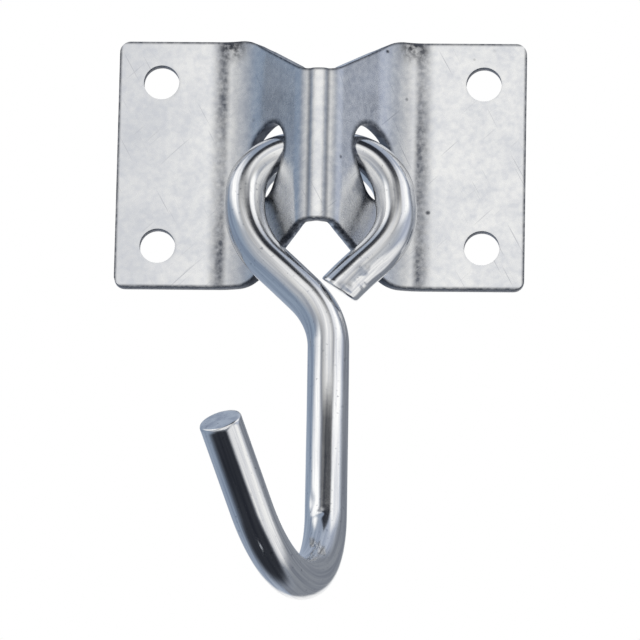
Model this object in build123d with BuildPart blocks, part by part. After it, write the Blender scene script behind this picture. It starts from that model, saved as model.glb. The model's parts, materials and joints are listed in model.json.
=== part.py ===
from build123d import *
from math import atan2, cos, radians, sin, tan
import os

# A rope hook on a wall plate: a folded steel plate and a bent wire hook that swings in it.
# Millimetres. X runs along the wall to the right, Z up, and the front faces -Y. The origin is at the
# middle of the four screw holes, on the plane of the wall.

# The mounting plate, one folded sheet
sheet = 1.5
plate_width = 60.0
plate_height = 37.5
plate_corner = 1.6
screw_hole_dia = 5.2
screw_spacing_x = 47.5
screw_spacing_z = 25.0

# The ridge between the two flanges
foot_start = 15.0       # where the front of each flange begins to curve, from the middle
foot_radius = 8.5       # hollow side of the bend at each flange
wall_angle = 54.0       # slope of the ridge walls, from the flange
crest_radius = 4.4      # round side of the bend along the crest
crest_length = 22.8
crest_flat = 2.6        # half-width of the straight end of the crest
notch_reach = 10.6      # where each notch meets the plate's edge, from the middle
notch_corner = 4.0
notch_root = 3.0

# The tapered slots through the two ridge walls, which leave the bent wire room to swing
slot_upper_dia = 8.0
slot_lower_dia = 6.4
slot_x = 7.4            # the middle of the upper round, on the wall's front plane
slot_rise = 0.9
slot_drop = 4.0         # from the middle of the upper round down to that of the lower one
slot_spread = 1.6       # how far the lower round lies down the slope, away from the crest

# The wire hook, one bent rod. Its own axes lie in the plane of the eye.
wire_dia = 6.0
pivot_front = 4.8       # from the wall to the axis the hook swings about
pivot_rise = 0.9
rest_lean = 20.0        # how far the hook stands forward at rest, with the eye lying on the ridge

# The eye: half-width, drops below the axis and bends, all along the middle of the wire
eye_half_width = 10.7
shoulder_radius = 8.0
eye_drop = 15.4         # where each side turns in towards the neck
eye_side_radius = 16.0
side_straight = 0.5     # least straight run between the two bends on each side of the eye
free_end_x = 3.5
free_end_drop = 24.7
neck_x = 2.2
neck_drop = 29.2
neck_radius = 13.0

# The stem and the hook at its end
stem_drop = 64.0        # where the straight stem ends and the hook's bend begins
stem_drift = 1.4        # sideways lean of the stem, down to the corner that its bend rounds off
hook_radius = 19.0
hook_opening = 61.0     # angle between the stem and the tip
hook_turn = 19.5        # how far the hook's bend is turned left of straight forward
tip_length = 14.2
wire_end_chamfer = 0.35

os.makedirs("parts", exist_ok=True)


def corners_at(sketch, x):
    """Return the corners of a sketch at a distance x from its middle line, above and below."""
    return sketch.vertices().filter_by(lambda v: round(abs(v.X) - x, 3) == 0 and round(v.Y, 3) != 0)


slope = radians(wall_angle)
foot_corner = foot_start - foot_radius * tan(slope / 2)
apex = sheet + foot_corner * tan(slope)

# Folded sheet: the front line of its section, thickened to the back
with BuildPart() as mounting_plate:
    with BuildSketch(Plane.XY):
        with BuildLine():
            front = FilletPolyline(
                (-plate_width / 2, -sheet),
                (-foot_corner, -sheet),
                (0, -apex),
                (foot_corner, -sheet),
                (plate_width / 2, -sheet),
                radius=[foot_radius, crest_radius, foot_radius],
            )
            offset(front, amount=sheet, side=Side.LEFT)
        make_face()
    extrude(amount=plate_height / 2, both=True)

    # Front outline: round corners, and notches that leave the crest shorter than the flanges
    with BuildSketch(Plane.XZ) as outline:
        with BuildLine():
            Polyline(
                (-plate_width / 2, 0),
                (-plate_width / 2, plate_height / 2),
                (-notch_reach, plate_height / 2),
                (-crest_flat, crest_length / 2),
                (crest_flat, crest_length / 2),
                (notch_reach, plate_height / 2),
                (plate_width / 2, plate_height / 2),
                (plate_width / 2, 0),
            )
            mirror(about=Plane.XZ)
        make_face()
        fillet(corners_at(outline, crest_flat), notch_root)
        fillet(corners_at(outline, notch_reach), notch_corner)
        fillet(corners_at(outline, plate_width / 2), plate_corner)
    extrude(amount=apex, mode=Mode.INTERSECT)

    # Screw holes through the flanges
    with Locations(Plane.XZ):
        with GridLocations(screw_spacing_x, screw_spacing_z, 2, 2):
            Hole(screw_hole_dia / 2)

    # Slots square to each sloping wall, for the wire
    slot_front = apex - slot_x * tan(slope)
    for side in (-1, 1):
        slot_plane = Plane(
            origin=(side * slot_x, -slot_front, slot_rise),
            x_dir=(0, 0, 1),
            z_dir=(side * sin(slope), -cos(slope), 0),
        )
        with BuildSketch(slot_plane):
            Circle(slot_upper_dia / 2)
            with Locations((-slot_drop, -side * slot_spread)):
                Circle(slot_lower_dia / 2)
            make_hull()
        extrude(amount=apex, both=True, mode=Mode.SUBTRACT)

mounting_plate.part.label = "mounting_plate"
export_step(mounting_plate.part, "parts/mounting_plate.step")

# Bent wire: one line of straight runs and round bends, from the eye's free end to the hook's tip
lean = radians(rest_lean)
opening = radians(hook_opening)
turn = radians(hook_turn)
stem_x = neck_x + stem_drift
bend_run = hook_radius / tan(opening / 2)
hook_plane = Plane(
    origin=(0, -pivot_front, pivot_rise),
    x_dir=(1, 0, 0),
    z_dir=(0, -cos(lean), sin(lean)),
)
tip_run = bend_run + tip_length
side_run = eye_drop - shoulder_radius - side_straight
end_turn = atan2(eye_half_width - free_end_x, free_end_drop - eye_drop)
neck_turn = atan2(eye_half_width + neck_x, neck_drop - eye_drop)
end_side_radius = min(eye_side_radius, side_run / tan(end_turn / 2))
neck_side_radius = min(eye_side_radius, side_run / tan(neck_turn / 2))
tip = (
    stem_x - tip_run * sin(opening) * sin(turn),
    -(stem_drop + bend_run) + tip_run * cos(opening),
    tip_run * sin(opening) * cos(turn),
)

with BuildPart() as wire_hook:
    with BuildLine(hook_plane) as wire_line:
        FilletPolyline(
            (free_end_x, -free_end_drop, 0),
            (eye_half_width, -eye_drop, 0),
            (eye_half_width, 0, 0),
            (-eye_half_width, 0, 0),
            (-eye_half_width, -eye_drop, 0),
            (neck_x, -neck_drop, 0),
            (stem_x, -(stem_drop + bend_run), 0),
            tip,
            radius=[
                end_side_radius,
                shoulder_radius,
                shoulder_radius,
                neck_side_radius,
                neck_radius,
                hook_radius,
            ],
        )
    wire = wire_line.wire()
    with BuildSketch(Plane(origin=wire @ 0, z_dir=wire % 0)):
        Circle(wire_dia / 2)
    sweep(path=wire)
    chamfer(wire_hook.faces().filter_by(GeomType.PLANE).edges(), wire_end_chamfer)

wire_hook.part.label = "wire_hook"
export_step(wire_hook.part, "parts/wire_hook.step")
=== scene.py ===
import json

import bmesh
import bpy
import numpy as np
from mathutils import Matrix, Vector


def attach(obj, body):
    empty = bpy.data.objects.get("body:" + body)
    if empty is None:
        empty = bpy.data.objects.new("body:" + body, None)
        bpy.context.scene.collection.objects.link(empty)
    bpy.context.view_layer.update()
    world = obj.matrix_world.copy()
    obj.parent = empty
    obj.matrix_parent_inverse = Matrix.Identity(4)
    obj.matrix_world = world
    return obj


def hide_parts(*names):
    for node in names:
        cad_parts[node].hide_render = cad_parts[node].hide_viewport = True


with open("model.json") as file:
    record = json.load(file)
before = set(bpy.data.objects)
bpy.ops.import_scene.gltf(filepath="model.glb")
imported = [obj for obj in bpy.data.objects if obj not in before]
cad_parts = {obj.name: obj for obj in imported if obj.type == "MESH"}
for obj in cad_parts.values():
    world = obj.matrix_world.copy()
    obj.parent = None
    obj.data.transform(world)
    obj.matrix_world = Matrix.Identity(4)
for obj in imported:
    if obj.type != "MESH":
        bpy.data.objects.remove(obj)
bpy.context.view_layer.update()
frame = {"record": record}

# Mounting plate
# One stamped sheet of mild steel, folded over a die into a ridge between two flat flanges and then
# bright zinc plated in a barrel. Four screws hold it to the wall; the wire runs through its two walls.

mm = 0.001
sheet = 1.5 * mm
plate_half_width = 30.0 * mm
plate_half_height = 18.75 * mm
plate_corner = 1.6 * mm
screw_hole_radius = 2.6 * mm
screw_hole_x = 23.75 * mm
screw_hole_z = 12.5 * mm
foot_start = 15.0 * mm
foot_radius = 8.5 * mm
wall_angle = np.radians(54.0)
crest_radius = 4.4 * mm
crest_half_length = 11.4 * mm
crest_half_flat = 2.6 * mm
notch_reach = 10.6 * mm
notch_corner = 4.0 * mm
notch_root = 3.0 * mm
slot_upper_radius = 4.0 * mm
slot_lower_radius = 3.2 * mm
slot_x = 7.4 * mm
slot_rise = 0.9 * mm
slot_drop = 4.0 * mm
slot_spread = 1.6 * mm
die_line_run = 1.4 * mm
die_line_depth = 0.2 * mm
die_line_inside = 0.35 * mm
die_line_outside = 0.85 * mm
edge_roll = 0.22 * mm

# Steps of the grids. A flange has half as many rows as the foot that it is joined to.
flange_columns = 48
flange_rows = 40
flange_rings = 15
wall_columns = 72
crest_rows = 56
wall_rings = 29
slot_rounds = 61
slope_steps = 800

crest_top = sheet + (foot_start - foot_radius * np.tan(wall_angle / 2)) * np.tan(wall_angle)
crest_top -= crest_radius * (1 / np.cos(wall_angle) - 1)
crest_run = crest_radius * wall_angle
wall_run = (foot_start - (foot_radius + crest_radius) * np.sin(wall_angle)) / np.cos(wall_angle)
foot_run = foot_radius * wall_angle
flange_at = crest_run + wall_run + foot_run
blank_half_width = flange_at + plate_half_width - foot_start


def fold(run):
    """Place a distance along the flat blank on the folded section: x to the side, reach to the front, lean.

    From the crest's middle the front face turns round the crest, runs straight down the wall, turns back
    round the foot and ends flat on the flange. The turn so far is the distance over the bend's radius, and
    the lean is how far the face has turned to its side.
    """
    run, side = np.abs(run), np.sign(run)
    crest = np.clip(run / crest_radius, 0, wall_angle)
    wall = np.clip(run - crest_run, 0, wall_run)
    foot = wall_angle - np.clip((run - crest_run - wall_run) / foot_radius, 0, wall_angle)
    flange = np.clip(run - flange_at, 0, None)
    x = crest_radius * np.sin(crest) + wall * np.cos(wall_angle)
    x += foot_radius * (np.sin(wall_angle) - np.sin(foot)) + flange
    reach = crest_top - crest_radius * (1 - np.cos(crest)) - wall * np.sin(wall_angle)
    reach += foot_radius * (np.cos(wall_angle) - np.cos(foot))
    return side * x, reach, side * (crest + foot - wall_angle)


def notch_edge(x):
    """Height of the plate's upper edge at x: level crest, slanted notch, level flange, joined by two arcs."""
    rise = np.arctan2(plate_half_height - crest_half_length, notch_reach - crest_half_flat)
    slant = crest_half_length + (x - crest_half_flat) * np.tan(rise)
    root_x = crest_half_flat - notch_root * np.tan(rise / 2)
    corner_x = notch_reach + notch_corner * np.tan(rise / 2)
    root = crest_half_length + notch_root
    root = root - np.sqrt(np.clip(notch_root**2 - (x - root_x) ** 2, 0, None))
    corner = plate_half_height - notch_corner
    corner = corner + np.sqrt(np.clip(notch_corner**2 - (x - corner_x) ** 2, 0, None))
    return np.select(
        [
            x < root_x,
            x < root_x + notch_root * np.sin(rise),
            x < corner_x - notch_corner * np.sin(rise),
            x < corner_x,
        ],
        [crest_half_length, root, slant, corner],
        plate_half_height,
    )


def ring_between(hole, outline, rings):
    """Grid from a hole's edge to an outline: straight lines from point to point, closed round the hole."""
    share = np.linspace(0, 1, rings)[:, None, None]
    return hole[None] + share * (outline - hole)[None]


def closed_quads(rows, columns):
    """Corner numbers of a grid's quads, where the last column joins the first."""
    index = np.arange(rows * columns).reshape(rows, columns)
    after = np.roll(index, -1, axis=1)
    return np.stack([index[:-1], after[:-1], after[1:], index[1:]], -1).reshape(-1, 4)


def outline_of(*sides):
    """Join sides end to end; each side leaves out its last point, which begins the next."""
    return np.concatenate([np.stack(np.broadcast_arrays(*side), -1)[:-1] for side in sides])


def flange_patch():
    """Upper right quarter of the flanges on the flat blank: a ring from the screw hole to the outline.

    Points of the outer corner are drawn in to its arc along lines from the arc's middle.
    """
    across = np.linspace(flange_at, blank_half_width, flange_columns + 1)
    up = np.linspace(0, plate_half_height, flange_rows + 1)
    outline = outline_of(
        (across, 0),
        (blank_half_width, up),
        (across[::-1], plate_half_height),
        (flange_at, up[::-1]),
    )
    middle = np.array([blank_half_width, plate_half_height]) - plate_corner
    out = outline - middle
    in_corner = (out > 0).all(1)
    arc = middle + plate_corner * out / np.maximum(np.linalg.norm(out, axis=1), 1e-9)[:, None]
    outline = np.where(in_corner[:, None], arc, outline)
    centre = np.array([flange_at + screw_hole_x - foot_start, screw_hole_z])
    away = outline - centre
    hole = centre + screw_hole_radius * away / np.linalg.norm(away, axis=1)[:, None]
    return ring_between(hole, outline, flange_rings)


def slot_edge(turn):
    """Edge of a wire slot from its middle, as steps down the slope and up, one for each direction of turn.

    The slot is what a round leaves that moves from the lower to the upper end and grows on the way. A ray
    from the middle meets each such round at its way along the ray plus the root of radius squared less its
    way across squared, and the furthest of them is the edge.
    """
    share = np.linspace(-0.5, 0.5, slot_rounds)[:, None]
    radius = (slot_lower_radius + slot_upper_radius) / 2 + share * (slot_upper_radius - slot_lower_radius)
    along = -share * slot_spread * np.cos(turn) + share * slot_drop * np.sin(turn)
    across = share * slot_spread * np.sin(turn) + share * slot_drop * np.cos(turn)
    reach = (along + np.sqrt(np.clip(radius**2 - across**2, 0, None))).max(0)
    return reach * np.cos(turn), reach * np.sin(turn)


def wall_patch():
    """Right half of the ridge on the flat blank: a ring from the wire's slot to the notched outline.

    The slot is cut square to the wall, so its edge is drawn on the wall's slope and moved to the blank by
    the distance down the slope that each point of the blank has.
    """
    across = np.linspace(0, flange_at, wall_columns + 1)
    edge = notch_edge(fold(across)[0])
    up = np.linspace(-crest_half_length, crest_half_length, crest_rows + 1)
    foot_up = np.linspace(-plate_half_height, plate_half_height, 2 * flange_rows + 1)
    outline = outline_of((across, -edge), (flange_at, foot_up), (across[::-1], edge[::-1]), (0, up[::-1]))
    run = np.linspace(0, flange_at, slope_steps)
    x, reach, _ = fold(run)
    down = x * np.cos(wall_angle) - reach * np.sin(wall_angle)
    middle_down = np.interp(slot_x, x, down) + slot_spread / 2
    middle_up = slot_rise - slot_drop / 2
    turn = np.arctan2(outline[:, 1] - middle_up, outline[:, 0] - np.interp(middle_down, down, run))
    slot_down, slot_up = slot_edge(turn)
    slot = np.stack([np.interp(middle_down + slot_down, down, run), middle_up + slot_up], -1)
    return ring_between(slot, outline, wall_rings)


def die_line(run):
    """Depth of the shallow line on each side of the crest: a bell, steep inside and wide outside."""
    off = np.abs(run) - die_line_run
    return die_line_depth * np.exp(-((off / np.where(off < 0, die_line_inside, die_line_outside)) ** 2))


def mesh_object(name, points, faces, skin):
    """Make a smooth mesh object from points and quads, with points in the same place merged.

    The skin gives each point its place on the flat material.
    """
    mesh = bpy.data.meshes.new(name)
    mesh.from_pydata(points.tolist(), [], faces.tolist())
    layer = mesh.attributes.new("skin", "FLOAT_VECTOR", "POINT")
    layer.data.foreach_set("vector", skin.astype(np.float32).reshape(-1))
    merged = bmesh.new()
    merged.from_mesh(mesh)
    bmesh.ops.remove_doubles(merged, verts=merged.verts, dist=0.0002 * mm)
    merged.to_mesh(mesh)
    merged.free()
    mesh.shade_smooth()
    piece = bpy.data.objects.new(name, mesh)
    bpy.context.scene.collection.objects.link(piece)
    return piece


# One flange quarter and one ridge half are mirrored to make the rest. Quads that would face the wall are
# turned round, so that all of them face the front.
flange_grid, wall_grid = flange_patch(), wall_patch()
flip_x, flip_z = np.array([-1, 1]), np.array([1, -1])
patches = [
    flange_grid,
    flange_grid * flip_x,
    flange_grid * flip_z,
    flange_grid * flip_x * flip_z,
    wall_grid,
    wall_grid * flip_x,
]
turned = [True, False, False, True, True, False]
blank_points = np.concatenate([patch.reshape(-1, 2) for patch in patches])
starts = np.cumsum([0] + [patch.shape[0] * patch.shape[1] for patch in patches])
blank_quads = np.concatenate(
    [
        start + closed_quads(*patch.shape[:2])[:, :: -1 if back else 1]
        for start, patch, back in zip(starts, patches, turned)
    ]
)
folded_x, folded_reach, lean = fold(blank_points[:, 0])
pressed_in = die_line(blank_points[:, 0])
folded_x = folded_x - pressed_in * np.sin(lean)
folded_reach = folded_reach - pressed_in * np.cos(lean)
plate_points = np.stack([folded_x, -folded_reach, blank_points[:, 1]], -1)

# The plate's skin: place on the flat blank, and distance to an edge. Round the wire's slots the distance
# grows half as fast, so the painted shade along the edges is twice as wide there, as a painted contact shadow
# beside the wire.
slot_shade_share = 0.5
to_edge = np.minimum(
    blank_half_width - np.abs(blank_points[:, 0]),
    notch_edge(np.abs(folded_x)) - np.abs(blank_points[:, 1]),
)
to_slot = np.linalg.norm(wall_grid - wall_grid[:1], axis=-1).reshape(-1)
both_walls = slice(-2 * len(to_slot), None)
to_edge[both_walls] = np.minimum(to_edge[both_walls], np.tile(slot_shade_share * to_slot, 2))
blank_skin = np.concatenate([blank_points, to_edge[:, None]], axis=1)
plate = mesh_object("folded_plate", plate_points, blank_quads, blank_skin)

thickness = plate.modifiers.new("sheet thickness", "SOLIDIFY")
thickness.thickness = sheet
thickness.offset = -1
thickness.material_offset_rim = 1
rolled_edge = plate.modifiers.new("edge rolled by the die", "BEVEL")
rolled_edge.width = edge_roll
rolled_edge.segments = 2
rolled_edge.limit_method = "ANGLE"
rolled_edge.angle_limit = np.radians(50)


def linear(code):
    """Turn an sRGB hex colour into linear red, green, blue and alpha."""
    srgb = np.array([int(code[i : i + 2], 16) for i in (1, 3, 5)]) / 255
    rgb = np.where(srgb <= 0.04045, srgb / 12.92, ((srgb + 0.055) / 1.055) ** 2.4)
    return (*rgb, 1.0)


def add(tree, kind, inputs=None, **settings):
    """Add a node, set its properties, and fill its inputs with values or with links from other nodes.

    A node given as an input is linked by its first live output; any other output is given as a socket.
    """
    node = tree.nodes.new(kind)
    for key, value in settings.items():
        setattr(node, key, value)
    for key, value in (inputs or {}).items():
        if isinstance(value, bpy.types.Node):
            value = next(socket for socket in value.outputs if socket.enabled)
        if isinstance(value, bpy.types.NodeSocket):
            tree.links.new(value, node.inputs[key])
        else:
            node.inputs[key].default_value = value
    return node


def fade(tree, mark, *limits):
    """Fade a mark out: multiply it by a smooth step of each value, from nothing at begin to all at full."""
    for value, begin, full in limits:
        step = add(
            tree,
            "ShaderNodeMapRange",
            {"Value": value, "From Min": begin, "From Max": full},
            interpolation_type="SMOOTHSTEP",
        )
        mark = add(tree, "ShaderNodeMath", {0: mark, 1: step}, operation="MULTIPLY")
    return mark


def new_material(name):
    """Start a material with an empty node tree, and return both."""
    material = bpy.data.materials.new(name)
    material.use_nodes = True
    material.node_tree.nodes.clear()
    return material, material.node_tree


# Bright zinc on stamped sheet: a pale metal with soft clouds from the bath, a fine grain, hair scratches
# and small nicks from the barrel, and dull torn marks where the die pressed along each foot. The grain and
# the scratches are drawn coarser than real, so that they show.
zinc_sheet, tree = new_material("zinc_plated_stamped_sheet")
cloud_size = 6 * mm
grain_size = 0.9 * mm
ragged_size = 0.6 * mm
uneven_size = 9 * mm
place = add(tree, "ShaderNodeTexCoord").outputs["Object"]
clouds = add(tree, "ShaderNodeTexNoise", {"Vector": place, "Scale": 1 / cloud_size, "Detail": 2.0})
grain = add(tree, "ShaderNodeTexNoise", {"Vector": place, "Scale": 1 / grain_size, "Detail": 3.0})
ragged = add(tree, "ShaderNodeTexNoise", {"Vector": place, "Scale": 1 / ragged_size, "Detail": 4.0})
uneven = add(tree, "ShaderNodeTexNoise", {"Vector": place, "Scale": 1 / uneven_size, "Detail": 1.0})
uneven = add(
    tree,
    "ShaderNodeMapRange",
    {"Value": uneven, "From Min": 0.35, "From Max": 0.6, "To Min": 0.7, "To Max": 1.0},
)
blank = add(tree, "ShaderNodeAttribute", attribute_name="skin").outputs["Vector"]
on_blank = add(tree, "ShaderNodeSeparateXYZ", {"Vector": blank})
side_run = add(tree, "ShaderNodeMath", {0: on_blank.outputs["X"]}, operation="ABSOLUTE")

# The die pressed a ragged line along each foot, sharp towards the ridge and soft towards the flange.
press_line = flange_at - 0.6 * mm
press_inside = 1.1 * mm
press_outside = 2.4 * mm
pressed = add(
    tree,
    "ShaderNodeMapRange",
    {"Value": ragged, "From Min": 0.3, "From Max": 0.66, "To Min": 0.6, "To Max": 1.0},
)
pressed = add(tree, "ShaderNodeMath", {0: pressed, 1: uneven}, operation="MULTIPLY")
pressed = fade(
    tree,
    pressed,
    (side_run, press_line - press_inside, press_line),
    (side_run, press_line + press_outside, press_line),
)

# It bit hardest at the upper end of each foot and left a dark torn patch there.
bite_height = 4.2 * mm
bite_width = 5.0 * mm
bitten = add(
    tree,
    "ShaderNodeMapRange",
    {"Value": ragged, "From Min": 0.36, "From Max": 0.6, "To Min": 0.3, "To Max": 1.0},
)
bitten = fade(
    tree,
    bitten,
    (on_blank.outputs["Y"], plate_half_height - bite_height, plate_half_height - 0.4 * mm),
    (side_run, flange_at - bite_width, flange_at - 2.0 * mm),
    (side_run, flange_at + 0.9 * mm, press_line),
)

# The sheet dragged over the die's edges and kept a dull stripe along both lines of the crest.
drag_width = 0.5 * mm
off_die = add(tree, "ShaderNodeMath", {0: side_run, 1: die_line_run}, operation="SUBTRACT")
off_die = add(tree, "ShaderNodeMath", {0: off_die}, operation="ABSOLUTE")
drag = add(
    tree,
    "ShaderNodeMapRange",
    {"Value": off_die, "From Min": drag_width, "From Max": 0.1 * mm, "To Max": 0.5},
)

# Hair scratches lie in two directions: the turn of each set in degrees, and the spacing of its scratches.
hair_length = 11 * mm
hair = 0.0
for turn, spacing in ((28, 0.3 * mm), (-47, 0.4 * mm)):
    stroke = add(
        tree,
        "ShaderNodeMapping",
        {"Vector": blank, "Rotation": (0, 0, np.radians(turn)), "Scale": (spacing, hair_length, 1.0)},
        vector_type="TEXTURE",
    )
    stroke = add(tree, "ShaderNodeTexNoise", {"Vector": stroke, "Scale": 1.0, "Detail": 1.0})
    stroke = add(
        tree, "ShaderNodeMapRange", {"Value": stroke, "From Min": 0.7, "From Max": 0.78, "To Max": 0.65}
    )
    hair = add(tree, "ShaderNodeMath", {0: hair, 1: stroke}, operation="MAXIMUM")

# Nicks are small rounds in a few cells of a coarse pattern.
nick_spacing = 3.2 * mm
nick_cell = add(tree, "ShaderNodeTexVoronoi", {"Vector": place, "Scale": 1 / nick_spacing})
rare = add(tree, "ShaderNodeSeparateColor", {"Color": nick_cell.outputs["Color"]})
rare = add(tree, "ShaderNodeMapRange", {"Value": rare, "From Min": 0.86, "From Max": 0.94})
nick = add(
    tree,
    "ShaderNodeMapRange",
    {"Value": nick_cell.outputs["Distance"], "From Min": 0.13, "From Max": 0.05},
)
nick = add(tree, "ShaderNodeMath", {0: nick, 1: rare}, operation="MULTIPLY")

# Painted shade: a ragged dark band along the rolled edges, and along the slot rims as painted contact shadow
# beside the wire.
# The sheet is also a little darker towards the left edge.
edge_shade_width = 0.52 * mm
rolled = add(
    tree,
    "ShaderNodeMapRange",
    {"Value": ragged, "From Min": 0.34, "From Max": 0.6, "To Min": 0.72, "To Max": 1.0},
)
rolled = fade(tree, rolled, (on_blank.outputs["Z"], edge_shade_width, 0.05 * mm))
# The sheet's colour grows darker towards the left edge, unevenly.
sheet_darker_to_left = add(
    tree,
    "ShaderNodeMapRange",
    {"Value": on_blank.outputs["X"], "From Min": -flange_at, "From Max": -blank_half_width, "To Max": 0.42},
)
sheet_darker_to_left = add(tree, "ShaderNodeMath", {0: sheet_darker_to_left, 1: uneven}, operation="MULTIPLY")

mottle = add(tree, "ShaderNodeMix", {"Factor": 0.62, "A": clouds, "B": grain})
mottle = add(tree, "ShaderNodeMapRange", {"Value": mottle, "From Min": 0.36, "From Max": 0.64})
tone = add(
    tree,
    "ShaderNodeMix",
    {"Factor": mottle, "A": linear("#d8dade"), "B": linear("#f2f2f1")},
    data_type="RGBA",
)
# Each mark darkens the tone towards its colour; the rolled-edge mark is painted shade on the edges and slot
# rims.
for mark, dark in (
    (sheet_darker_to_left, "#b4b8c1"),
    (pressed, "#595d66"),
    (bitten, "#3d4047"),
    (drag, "#6b6f77"),
    (hair, "#b4b6bc"),
    (rolled, "#4f535b"),
    (nick, "#4c4f57"),
):
    tone = add(tree, "ShaderNodeMix", {"Factor": mark, "A": tone, "B": linear(dark)}, data_type="RGBA")
gloss = add(
    tree,
    "ShaderNodeMapRange",
    {"Value": grain, "From Min": 0.3, "From Max": 0.7, "To Min": 0.22, "To Max": 0.31},
)
ripple = add(tree, "ShaderNodeBump", {"Height": clouds, "Strength": 0.15, "Distance": 0.06 * mm})
dent = add(
    tree,
    "ShaderNodeBump",
    {"Height": nick, "Strength": 0.6, "Distance": 0.08 * mm, "Normal": ripple},
    invert=True,
)
metal = add(
    tree,
    "ShaderNodeBsdfPrincipled",
    {"Base Color": tone, "Metallic": 1.0, "Roughness": gloss, "Normal": dent},
)
add(tree, "ShaderNodeOutputMaterial", {"Surface": metal})

# Sheared edge under thin zinc: the cut face is torn, so it is dull and grey. On the slanted notches the
# shear ran cleaner, and there the edge is brighter and mottled.
cut_edge, tree = new_material("sheared_steel_edge")
torn_size = 0.8 * mm
clean_begin, clean_full = 2.2 * mm, 3.6 * mm
clean_until, clean_end = 9.0 * mm, 14.0 * mm
clean_above = 9.0 * mm
place = add(tree, "ShaderNodeTexCoord").outputs["Object"]
torn = add(tree, "ShaderNodeTexNoise", {"Vector": place, "Scale": 1 / torn_size, "Detail": 4.0})
blank = add(tree, "ShaderNodeAttribute", attribute_name="skin").outputs["Vector"]
on_blank = add(tree, "ShaderNodeSeparateXYZ", {"Vector": blank})
side_run = add(tree, "ShaderNodeMath", {0: on_blank.outputs["X"]}, operation="ABSOLUTE")
off_middle = add(tree, "ShaderNodeMath", {0: on_blank.outputs["Y"]}, operation="ABSOLUTE")
clean = fade(
    tree,
    1.0,
    (side_run, clean_begin, clean_full),
    (side_run, clean_end, clean_until),
    (off_middle, clean_above, clean_above + 1.6 * mm),
)
dull_share = add(tree, "ShaderNodeMapRange", {"Value": torn, "From Min": 0.3, "From Max": 0.7})
dull_tone = add(
    tree,
    "ShaderNodeMix",
    {"Factor": dull_share, "A": linear("#6d7078"), "B": linear("#9a9da4")},
    data_type="RGBA",
)
clean_share = add(tree, "ShaderNodeMapRange", {"Value": torn, "From Min": 0.36, "From Max": 0.58})
clean_tone = add(
    tree,
    "ShaderNodeMix",
    {"Factor": clean_share, "A": linear("#8f959f"), "B": linear("#ffffff")},
    data_type="RGBA",
)
tone = add(tree, "ShaderNodeMix", {"Factor": clean, "A": dull_tone, "B": clean_tone}, data_type="RGBA")
gloss = add(tree, "ShaderNodeMapRange", {"Value": clean, "To Min": 0.45, "To Max": 0.2})
rough = add(tree, "ShaderNodeBump", {"Height": torn, "Strength": 0.5, "Distance": 0.08 * mm})
metal = add(
    tree,
    "ShaderNodeBsdfPrincipled",
    {"Base Color": tone, "Metallic": 1.0, "Roughness": gloss, "Normal": rough},
)
add(tree, "ShaderNodeOutputMaterial", {"Surface": metal})

plate.data.materials.append(zinc_sheet)
plate.data.materials.append(cut_edge)
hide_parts("mounting_plate")
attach(plate, "plate")

# Wire hook
# One length of 6 mm drawn steel rod, bent cold round pins and bright zinc plated. Its eye hangs loose in
# the slots of the two walls, behind the crest, so the hook swings on the plate.

wire_radius = 3.0 * mm
pivot = np.array(frame["record"]["behaviour"]["joints"][0]["pos_m"])
rest_lean = np.radians(20.0)
eye_half_width = 10.7 * mm
eye_drop = 15.4 * mm
eye_side_radius = 16.0 * mm
shoulder_radius = 8.0 * mm
free_end_x = 3.5 * mm
free_end_drop = 24.7 * mm
neck_x = 2.2 * mm
neck_drop = 29.2 * mm
neck_radius = 13.0 * mm
stem_x = 3.6 * mm
stem_drop = 64.0 * mm
hook_radius = 19.0 * mm
hook_opening = np.radians(61.0)
hook_turn = np.radians(19.5)
tip_length = 14.2 * mm
line_step = 0.35 * mm
round_steps = 64

bend_run = hook_radius / np.tan(hook_opening / 2)
tip_way = np.array(
    [
        -np.sin(hook_opening) * np.sin(hook_turn),
        np.cos(hook_opening),
        np.sin(hook_opening) * np.cos(hook_turn),
    ]
)
stem_corner = np.array([stem_x, -stem_drop - bend_run, 0.0])
hook_axes = np.array(
    [
        (1.0, 0.0, 0.0),
        (0.0, np.sin(rest_lean), np.cos(rest_lean)),
        (0.0, -np.cos(rest_lean), np.sin(rest_lean)),
    ]
)
wire_corners = np.array(
    [
        (free_end_x, -free_end_drop, 0.0),
        (eye_half_width, -eye_drop, 0.0),
        (eye_half_width, 0.0, 0.0),
        (-eye_half_width, 0.0, 0.0),
        (-eye_half_width, -eye_drop, 0.0),
        (neck_x, -neck_drop, 0.0),
        stem_corner,
        stem_corner + tip_way * (bend_run + tip_length),
    ]
)
wire_corners = pivot + wire_corners @ hook_axes
bend_radii = [eye_side_radius, shoulder_radius, shoulder_radius, eye_side_radius, neck_radius, hook_radius]


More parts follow.
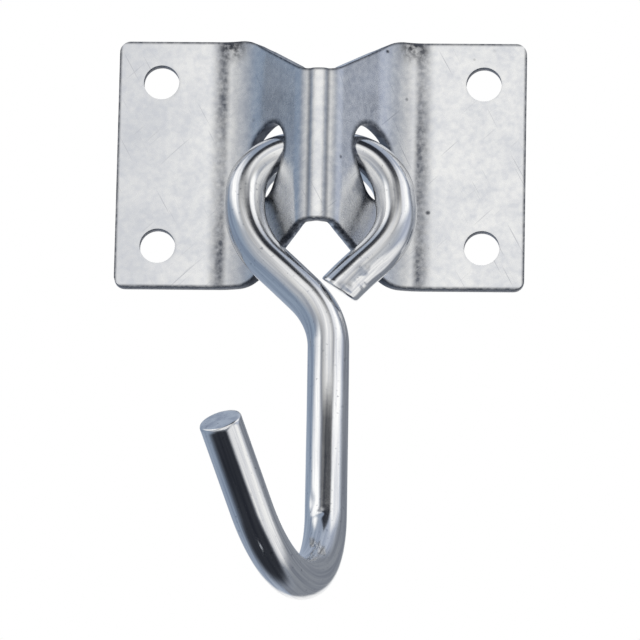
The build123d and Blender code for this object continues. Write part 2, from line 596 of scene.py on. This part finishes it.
def bent_line(corners, radii, step):
    """Points and directions along a line of straight runs, each corner replaced by an arc of its radius.

    An arc starts a run of radius times the tangent of half the turn before its corner. On it the direction
    turns evenly from one run's to the next, and the point moves with it round the arc's middle. The
    directions of the straight runs are returned too.
    """
    ways = np.diff(corners, axis=0)
    ways = ways / np.linalg.norm(ways, axis=1)[:, None]
    turns = np.arccos((ways[:-1] * ways[1:]).sum(1))
    points, directions, start = [], [], corners[0]
    for corner, way, onward, radius, turn in zip(corners[1:-1], ways[:-1], ways[1:], radii, turns):
        begin = corner - way * radius * np.tan(turn / 2)
        share = np.arange(0, 1, step / np.linalg.norm(begin - start))[:, None]
        points.append(start + share * (begin - start))
        directions.append(np.broadcast_to(way, points[-1].shape))
        inward = (onward - way * np.cos(turn)) / np.sin(turn)
        angle = np.arange(0, turn, step / radius)[:, None]
        points.append(begin + radius * (way * np.sin(angle) + inward * (1 - np.cos(angle))))
        directions.append(way * np.cos(angle) + inward * np.sin(angle))
        start = corner + onward * radius * np.tan(turn / 2)
    share = np.linspace(0, 1, int(np.linalg.norm(corners[-1] - start) / step))[:, None]
    points.append(start + share * (corners[-1] - start))
    directions.append(np.broadcast_to(ways[-1], points[-1].shape))
    return np.concatenate(points), np.concatenate(directions), ways


line, along, ways = bent_line(wire_corners, bend_radii, line_step)
run = np.concatenate([[0], np.cumsum(np.linalg.norm(np.diff(line, axis=0), axis=1))])

# Cold bending leaves the rod a little off its drawn line. Between neck and hook it bows back: its lean drops,
# rises past the drawn one and comes level again. The open side of the eye springs out in one smooth swell.
bow_at = np.array([62, 70, 82, 94, 110, 118]) * mm
bow_lean = np.radians([0, -3.6, -3.6, 3.05, 3.05, 0])
swell_begin = 2 * mm
swell_length = 23 * mm
swell_height = 0.9 * mm
bow_slope = np.interp(run, bow_at, bow_lean)
bow = np.concatenate([[0], np.cumsum((bow_slope[1:] + bow_slope[:-1]) / 2 * np.diff(run))])
swell_turn = np.pi * np.clip((run - swell_begin) / swell_length, 0, 1)
swell = swell_height * np.sin(swell_turn) ** 2
swell_slope = swell_height * np.pi / swell_length * np.sin(2 * swell_turn)
line = line + bow[:, None] * hook_axes[2] + swell[:, None] * hook_axes[0]
along = along + bow_slope[:, None] * hook_axes[2] + swell_slope[:, None] * hook_axes[0]
along = along / np.linalg.norm(along, axis=1)[:, None]

# The eye and stem lie in one plane and the hook's bend in another. The round section keeps a fixed share of
# its first axis along the plane's normal, and the rest across the wire in the plane.
eye_normal = hook_axes[2]
bend_normal = np.cross(ways[-2], ways[-1])
bend_normal = bend_normal / np.linalg.norm(bend_normal)
stem_middle = (wire_corners[-3] + wire_corners[-2]) / 2
in_bend = np.arange(len(line)) >= np.argmin(np.linalg.norm(line - stem_middle, axis=1))
across_stem = np.cross(bend_normal, ways[-2])
bend_first = (eye_normal @ bend_normal) * bend_normal
bend_first = bend_first + (eye_normal @ across_stem) * np.cross(bend_normal, along)
first_axis = np.where(in_bend[:, None], bend_first, eye_normal)
first_axis = first_axis - (first_axis * along).sum(1)[:, None] * along
first_axis = first_axis / np.linalg.norm(first_axis, axis=1)[:, None]
second_axis = np.cross(along, first_axis)

# Each end is sheared off: a flat face with a small rounded rim, drawn as rings that shrink to the middle.
# A ring has its share of the wire's radius and its way back from the face. These rings take the place of the
# two points at that end of the line.
end_rounding = 0.35 * mm
round_share = end_rounding / wire_radius
rim = np.array([0.0, 0.55, 0.8, 1 - round_share, 1 - 0.3 * round_share, 1.0])
rim_back = np.array([0.0, 0.0, 0.0, 0.0, 0.3, 1.0]) * end_rounding
tail = len(rim)
body_rings = len(line) - 4


def with_ends(rows):
    """Put the rings of both ends in place of an array's two outer rows: they repeat its first or last row."""
    return np.concatenate([np.repeat(rows[:1], tail, 0), rows[2:-2], np.repeat(rows[-1:], tail, 0)])


ring_first, ring_second, ring_run = with_ends(first_axis), with_ends(second_axis), with_ends(run)
inset = np.concatenate([rim_back, np.zeros(body_rings), -rim_back[::-1]])
ring_line = with_ends(line) + inset[:, None] * with_ends(along)
around = np.linspace(0, 2 * np.pi, round_steps, endpoint=False)
ring_size = np.concatenate([rim, np.ones(body_rings), rim[::-1]]) * wire_radius
ring_size = np.repeat(ring_size[:, None], round_steps, 1)

# Marks left by the bending tools: distance along the wire in mm, the way the mark faces, its half-length and
# half-width along and round the wire in mm, and its depth in mm. Each is a bell both ways.
tool_marks = [
    (0.8, (0.2, -0.9, -0.4), 0.8, 1.3, 0.30),
    (2.7, (0.8, -0.5, -0.3), 0.5, 1.2, 0.26),
    (4.4, (0.3, -0.9, -0.2), 0.6, 0.8, 0.20),
    (6.3, (0.8, -0.6, -0.1), 1.0, 0.5, 0.16),
    (108.2, (-0.6, -0.8, 0.1), 1.4, 0.5, 0.12),
    (110.8, (-0.3, -0.9, 0.2), 0.6, 0.9, 0.13),
]
for at, facing, half_length, half_width, depth in tool_marks:
    ring = np.argmin(np.abs(ring_run - at * mm))
    facing_turn = np.arctan2(ring_second[ring] @ facing, ring_first[ring] @ facing)
    off_round = np.angle(np.exp(1j * (around - facing_turn))) * wire_radius / (half_width * mm)
    off_along = (ring_run - at * mm) / (half_length * mm)
    depth_here = depth * mm * np.exp(-(off_along[:, None] ** 2) - off_round[None] ** 2)
    ring_size = ring_size * (1 - depth_here / wire_radius)

# The eye's free end was cropped at a slant: its back is shorter than its front, in step with the depth. The
# slant fades out along the wire.
crop_slant = np.radians(26)
crop_fade = 7 * mm
crop = -np.tan(crop_slant) * ring_size * np.cos(around)[None]
crop = crop * np.clip(1 - ring_run / crop_fade, 0, 1)[:, None]
section = np.cos(around)[None, :, None] * ring_first[:, None]
section = section + np.sin(around)[None, :, None] * ring_second[:, None]
wire_points = ring_line[:, None] + ring_size[..., None] * section + crop[..., None] * along[0]

# The wire's skin: distance along it, and place in its section. The section is drawn in on the end faces, so
# that the lines along the wire don't show there as rays.
face_share = 0.3
ring_number = np.arange(len(ring_run))
on_face = np.minimum(ring_number, ring_number[::-1]) < tail - 1
skin_size = np.where(on_face[:, None], face_share, 1.0) * ring_size
wire_skin = np.broadcast_arrays(ring_run[:, None], skin_size * np.cos(around), skin_size * np.sin(around))
wire_skin = np.stack(wire_skin, -1)
wire_quads = closed_quads(*wire_points.shape[:2])
wire = mesh_object("bent_wire", wire_points.reshape(-1, 3), wire_quads, wire_skin.reshape(-1, 3))

# Bright zinc on drawn wire: glossier than the sheet, with soft clouds, faint flats and fine lines along it
# from the drawing die. The lines are half a millimetre apart, coarser than real, so that they show.
zinc_wire, tree = new_material("zinc_plated_drawn_wire")
cloud_size = 3.5 * mm
speck_size = 0.5 * mm
line_length, line_spacing = 16 * mm, 0.5 * mm
flat_length, flat_width = 45 * mm, 1.3 * mm
place = add(tree, "ShaderNodeTexCoord").outputs["Object"]
skin = add(tree, "ShaderNodeAttribute", attribute_name="skin").outputs["Vector"]
clouds = add(tree, "ShaderNodeTexNoise", {"Vector": place, "Scale": 1 / cloud_size, "Detail": 4.0})
speck = add(tree, "ShaderNodeTexNoise", {"Vector": place, "Scale": 1 / speck_size, "Detail": 3.0})
speck = add(tree, "ShaderNodeMapRange", {"Value": speck, "From Min": 0.64, "From Max": 0.76})
drawn = add(
    tree,
    "ShaderNodeMapping",
    {"Vector": skin, "Scale": (1 / line_length, 1 / line_spacing, 1 / line_spacing)},
)
drawn = add(tree, "ShaderNodeTexNoise", {"Vector": drawn, "Scale": 1.0, "Detail": 3.0})
flats = add(
    tree,
    "ShaderNodeMapping",
    {"Vector": skin, "Scale": (1 / flat_length, 1 / flat_width, 1 / flat_width)},
)
flats = add(tree, "ShaderNodeTexNoise", {"Vector": flats, "Scale": 1.0, "Detail": 1.0})
bright = add(tree, "ShaderNodeMapRange", {"Value": drawn, "From Min": 0.36, "From Max": 0.6})
tone = add(
    tree,
    "ShaderNodeMix",
    {"Factor": bright, "A": linear("#cfd1d6"), "B": linear("#f3f3f2")},
    data_type="RGBA",
)
tone = add(tree, "ShaderNodeMix", {"Factor": speck, "A": tone, "B": linear("#a6a9b0")}, data_type="RGBA")
gloss = add(
    tree,
    "ShaderNodeMapRange",
    {"Value": drawn, "From Min": 0.3, "From Max": 0.7, "To Min": 0.1, "To Max": 0.17},
)
relief = add(tree, "ShaderNodeBump", {"Height": clouds, "Strength": 0.25, "Distance": 0.06 * mm})
relief = add(
    tree, "ShaderNodeBump", {"Height": flats, "Strength": 0.6, "Distance": 0.06 * mm, "Normal": relief}
)
relief = add(
    tree, "ShaderNodeBump", {"Height": drawn, "Strength": 0.2, "Distance": 0.02 * mm, "Normal": relief}
)
metal = add(
    tree,
    "ShaderNodeBsdfPrincipled",
    {"Base Color": tone, "Metallic": 1.0, "Roughness": gloss, "Normal": relief},
)
add(tree, "ShaderNodeOutputMaterial", {"Surface": metal})

wire.data.materials.append(zinc_wire)
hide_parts("wire_hook")
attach(wire, "hook")

# Studio
# A plain white backdrop with soft panels round the hook: a tall bright one in front, dimmer cool ones beside
# and under it, and bright ones high at both sides. The dark gaps between them are the plating's dark bands.

world = bpy.data.worlds.new("studio")
bpy.context.scene.world = world
world.use_nodes = True
tree = world.node_tree
tree.nodes.clear()
way = add(tree, "ShaderNodeSeparateXYZ", {"Vector": add(tree, "ShaderNodeTexCoord").outputs["Generated"]})
to_front = add(tree, "ShaderNodeMath", {0: way.outputs["Y"], 1: -1.0}, operation="MULTIPLY")
azimuth = add(tree, "ShaderNodeMath", {0: way.outputs["X"], 1: to_front}, operation="ARCTAN2")
height = add(tree, "ShaderNodeMath", {0: way.outputs["Z"]}, operation="ARCSINE")

# The room is dark in front and far below. Its side and back walls begin at these turns from the front, and
# grow lighter from left to right.
wall_begin, wall_full = np.radians(36), np.radians(60)
turned_away = add(tree, "ShaderNodeMath", {0: azimuth}, operation="ABSOLUTE")
on_sides = fade(tree, 1.0, (turned_away, wall_begin, wall_full), (way.outputs["Z"], -0.85, -0.45))
to_right = add(tree, "ShaderNodeMapRange", {"Value": way.outputs["X"], "From Min": -0.9, "From Max": 0.9})
walls = add(
    tree,
    "ShaderNodeMix",
    {"Factor": to_right, "A": linear("#8f9eb2"), "B": linear("#c2c9d8")},
    data_type="RGBA",
)
light = add(
    tree, "ShaderNodeMix", {"Factor": on_sides, "A": linear("#2f3239"), "B": walls}, data_type="RGBA"
)

# Each panel: azimuth and height of its middle, half-width and half-height, the width of its soft edges to the
# side and up, all in degrees, its brightness and its tint. A later panel covers an earlier one.
cool, plain = "#e9f1ff", "#ffffff"
panels = [
    (-52, 14, 16, 20, 14, 10, 0.46, cool),
    (52, 14, 16, 20, 14, 10, 0.46, cool),
    (0, -26, 52, 14, 20, 12, 0.31, cool),
    (0, 19.7, 36, 35.7, 30, 5, 1.0, plain),
    (-80, 48, 28, 14, 9, 7, 1.15, plain),
    (68, 50, 26, 15, 9, 7, 1.15, plain),
    (150, 5, 46, 45, 8, 10, 0.31, cool),
    (80, -20, 32, 22, 9, 7, 0.95, plain),
]
for across, up, half_width, half_height, soft_side, soft_up, level, tint in panels:
    cover = 1.0
    for angle, middle, half, soft in (
        (azimuth, across, half_width, soft_side),
        (height, up, half_height, soft_up),
    ):
        off = add(tree, "ShaderNodeMath", {0: angle, 1: np.radians(middle)}, operation="SUBTRACT")
        off = add(tree, "ShaderNodeMath", {0: off}, operation="ABSOLUTE")
        cover = fade(tree, cover, (off, np.radians(half + soft), np.radians(half - soft)))
    shine = tuple(level * part for part in linear(tint))
    light = add(tree, "ShaderNodeMix", {"Factor": cover, "A": light, "B": shine}, data_type="RGBA")

# The camera sees plain white, and so does what shines through or mirrors the way straight back.
white = (1.0, 1.0, 1.0, 1.0)
seen = add(tree, "ShaderNodeLightPath")
mirrored = fade(tree, seen.outputs["Is Glossy Ray"], (way.outputs["Y"], 0.93, 0.98))
backdrop = add(
    tree, "ShaderNodeMath", {0: seen.outputs["Is Transmission Ray"], 1: mirrored}, operation="MAXIMUM"
)
backdrop = add(
    tree, "ShaderNodeMath", {0: seen.outputs["Is Camera Ray"], 1: backdrop}, operation="MAXIMUM"
)
shown = add(tree, "ShaderNodeMix", {"Factor": backdrop, "A": light, "B": white}, data_type="RGBA")
glow = add(tree, "ShaderNodeBackground", {"Color": shown, "Strength": 1.0})
add(tree, "ShaderNodeOutputWorld", {"Surface": glow})

# The floor: a round of matt pale board, so far under the hook that the plating doesn't mirror it
floor_radius = 0.3
floor_drop = 5.0
ring_radius = np.linspace(0, floor_radius, 9)[:, None]
floor_turn = np.linspace(0, 2 * np.pi, 96, endpoint=False)
floor_points = np.broadcast_arrays(
    ring_radius * np.cos(floor_turn), ring_radius * np.sin(floor_turn), -floor_drop
)
floor_points = np.stack(floor_points, -1)
floor_quads = closed_quads(*floor_points.shape[:2])[:, ::-1]
floor = mesh_object("floor", floor_points.reshape(-1, 3), floor_quads, floor_points.reshape(-1, 3))

# Matt board: a pale paper face with a faint fibre, and no shine.
board, tree = new_material("matt_pale_board")
fibre_size = 8 * mm
place = add(tree, "ShaderNodeTexCoord").outputs["Object"]
fibre = add(tree, "ShaderNodeTexNoise", {"Vector": place, "Scale": 1 / fibre_size, "Detail": 3.0})
fibre = add(tree, "ShaderNodeMapRange", {"Value": fibre, "From Min": 0.3, "From Max": 0.7})
tone = add(
    tree,
    "ShaderNodeMix",
    {"Factor": fibre, "A": linear("#eeeeec"), "B": linear("#f6f6f5")},
    data_type="RGBA",
)
paper = add(tree, "ShaderNodeBsdfPrincipled", {"Base Color": tone, "Roughness": 0.85})
add(tree, "ShaderNodeOutputMaterial", {"Surface": paper})
floor.data.materials.append(board)

# Camera: below the plate and a little to its right, as in the photograph, aimed at the whole hook
camera_below = np.radians(16.34)
camera_right = np.radians(2.77)
camera_roll = np.radians(1.19)
camera_distance = 1.084
aim = Vector((1.7 * mm, -30.0 * mm, -31.3 * mm))
camera_data = bpy.data.cameras.new("camera")
camera_data.lens = 415
camera_data.sensor_width = 36
camera_data.clip_start = 0.01
camera = bpy.data.objects.new("camera", camera_data)
bpy.context.scene.collection.objects.link(camera)
stand = camera_distance * Vector(
    (
        np.sin(camera_right) * np.cos(camera_below),
        -np.cos(camera_right) * np.cos(camera_below),
        -np.sin(camera_below),
    )
)
turned_to = (aim - stand).to_track_quat("-Z", "Y").to_matrix().to_4x4()
camera.matrix_world = Matrix.Translation(stand) @ turned_to @ Matrix.Rotation(camera_roll, 4, "Z")
bpy.context.scene.camera = camera
bpy.context.scene.view_settings.view_transform = "Standard"
